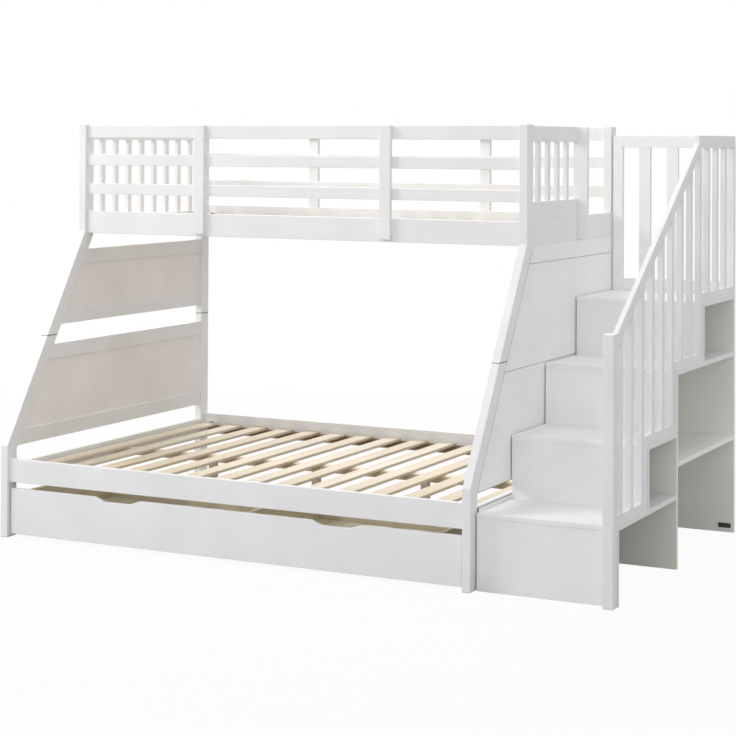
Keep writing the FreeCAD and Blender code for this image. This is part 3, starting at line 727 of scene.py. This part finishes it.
# %% [markdown]
# ## Floor and background
# The photograph has a plain white ground. The floor is a wide pale sheet that still takes the bed's
# shadow, and it turns plain white some metres away from the bed, so that no horizon shows. The world is
# white too where the camera or a reflection looks straight at it. For all other rays it is a dim, even
# grey, the last of the light that the studio's walls send back.

# %% Floor and world
floor_size = 60.0
floor_drop = 0.5 * millimetre
paper_tone = "#C4C4C4"
sky_strength = 0.4
floor_whiteness = 0.95
near_floor = 2.6
far_floor = 5.0

start_fresh()
bpy.ops.mesh.primitive_plane_add(size=floor_size, location=(0, 0, -floor_drop))
floor = bpy.context.object
floor.name = "studio_floor"
floor_paper, floor_shader = new_material("white_studio_paper")
floor_shader.inputs["Base Color"].default_value = linear(paper_tone)
floor_shader.inputs["Roughness"].default_value = 0.9
floor_shader.inputs["Specular IOR Level"].default_value = 0.0
rays = add_node(floor_paper, "ShaderNodeLightPath")
looked_at = add_node(floor_paper, "ShaderNodeMath", {
    0: rays.outputs["Is Camera Ray"], 1: rays.outputs["Is Glossy Ray"],
}, operation="MAXIMUM")
seen = add_node(floor_paper, "ShaderNodeMath", {
    0: looked_at.outputs["Value"], 1: rays.outputs["Is Transmission Ray"],
}, operation="MAXIMUM")
white = add_node(floor_paper, "ShaderNodeEmission", {"Color": (1, 1, 1, 1), "Strength": 1.0})
floor_place = add_node(floor_paper, "ShaderNodeTexCoord")
away = add_node(floor_paper, "ShaderNodeVectorMath", {
    0: floor_place.outputs["Object"],
}, operation="LENGTH")
whiter = add_node(floor_paper, "ShaderNodeMapRange", {
    "Value": away.outputs["Value"], "From Min": near_floor, "From Max": far_floor,
    "To Min": floor_whiteness, "To Max": 1.0,
})
share = add_node(floor_paper, "ShaderNodeMath", {
    0: seen.outputs["Value"], 1: whiter.outputs["Result"],
}, operation="MULTIPLY")
paper = add_node(floor_paper, "ShaderNodeMixShader", {
    "Fac": share.outputs["Value"], 1: floor_shader.outputs["BSDF"], 2: white.outputs["Emission"],
})
floor_paper.node_tree.links.new(
    paper.outputs["Shader"], floor_paper.node_tree.nodes["Material Output"].inputs["Surface"]
)
floor.data.materials.append(floor_paper)

world = bpy.data.worlds.new("white_studio")
world.use_nodes = True
bpy.context.scene.world = world
background = world.node_tree.nodes["Background"]
background.inputs["Color"].default_value = (1, 1, 1, 1)
world_rays = add_node(world, "ShaderNodeLightPath")
direct = add_node(world, "ShaderNodeMath", {
    0: world_rays.outputs["Is Camera Ray"], 1: world_rays.outputs["Is Glossy Ray"],
}, operation="MAXIMUM")
clear = add_node(world, "ShaderNodeMath", {
    0: direct.outputs["Value"], 1: world_rays.outputs["Is Transmission Ray"],
}, operation="MAXIMUM")
level = add_node(world, "ShaderNodeMapRange", {
    "Value": clear.outputs["Value"], "To Min": sky_strength, "To Max": 1.0,
})
world.node_tree.links.new(level.outputs["Result"], background.inputs["Strength"])
print("floor", floor.name, "sky strength", sky_strength)

# %% [markdown]
# ## Lamps
# In the photograph the light comes from high on the left and a little in front, so the stair end faces
# away from it and lies in shade. That is the key lamp. A wide lamp behind the bed lights the slats and
# the tops of the rails. A ceiling panel and a very wide lamp in front soften the shadows. The front lamp
# stands far off, so that it lights near and far boards alike and reaches into the cubbies, and a weak
# lamp on the right keeps the stair readable. Area lamps lose strength with distance, which is why the
# trundle is a little darker than the guard. Each row gives a place, an aim, a size and a power.

# %% Area lamps
lamps = [
    ("key_lamp", (-4.4, -2.8, 4.2), (0.6, -0.2, 0.8), (2.0, 2.0), 150),
    ("back_lamp", (-2.0, 4.5, 4.0), (-0.2, 0.0, 0.5), (3.0, 2.0), 180),
    ("ceiling_lamp", (0.0, 0.0, 4.0), (0.0, 0.0, 0.0), (5.0, 4.0), 60),
    ("front_lamp", (1.2, -9.0, 3.2), (0.0, 0.0, 0.8), (10.0, 4.0), 214),
    ("right_lamp", (5.0, 0.5, 2.0), (0.0, 0.0, 0.8), (3.0, 3.0), 26),
]
for name, place, aim, size, watts in lamps:
    bpy.ops.object.light_add(type="AREA", location=place)
    lamp = bpy.context.object
    lamp.name = name
    lamp.rotation_euler = (Vector(aim) - Vector(place)).to_track_quat("-Z", "Y").to_euler()
    lamp.data.shape = "RECTANGLE"
    lamp.data.size, lamp.data.size_y = size
    lamp.data.energy = watts
    lamp.visible_camera = False
    print(name, watts, "W")

# %% [markdown]
# ## Camera
# The camera is the photograph's: its place, turn and lens were found by matching some fifty points of
# the bed. It looks almost level, from about eye height, and the picture is shifted down on the film,
# which keeps the posts upright in the image. The image is 736 by 736 pixels.

# %% Camera
image_size = 736
focal_pixels = 1930.87
centre_x = 335.57
centre_y = 115.21
film_width = 36.0
camera_place = (3.54333, -7.26709, 1.62780)
camera_yaw = math.radians(27.1944)
camera_pitch = math.radians(0.8265)
camera_roll = math.radians(0.3102)

turn = (
    Matrix.Rotation(camera_yaw, 3, "Z")
    @ Matrix.Rotation(math.pi / 2 + camera_pitch, 3, "X")
    @ Matrix.Rotation(camera_roll, 3, "Z")
)
bpy.ops.object.camera_add(location=camera_place, rotation=turn.to_euler())
camera = bpy.context.object
camera.data.sensor_width = film_width
camera.data.lens = focal_pixels * film_width / image_size
camera.data.shift_x = (image_size / 2 - centre_x) / image_size
camera.data.shift_y = (centre_y - image_size / 2) / image_size
bpy.context.scene.camera = camera
bpy.context.scene.view_settings.view_transform = "Standard"
print("lens in mm", round(camera.data.lens, 2))
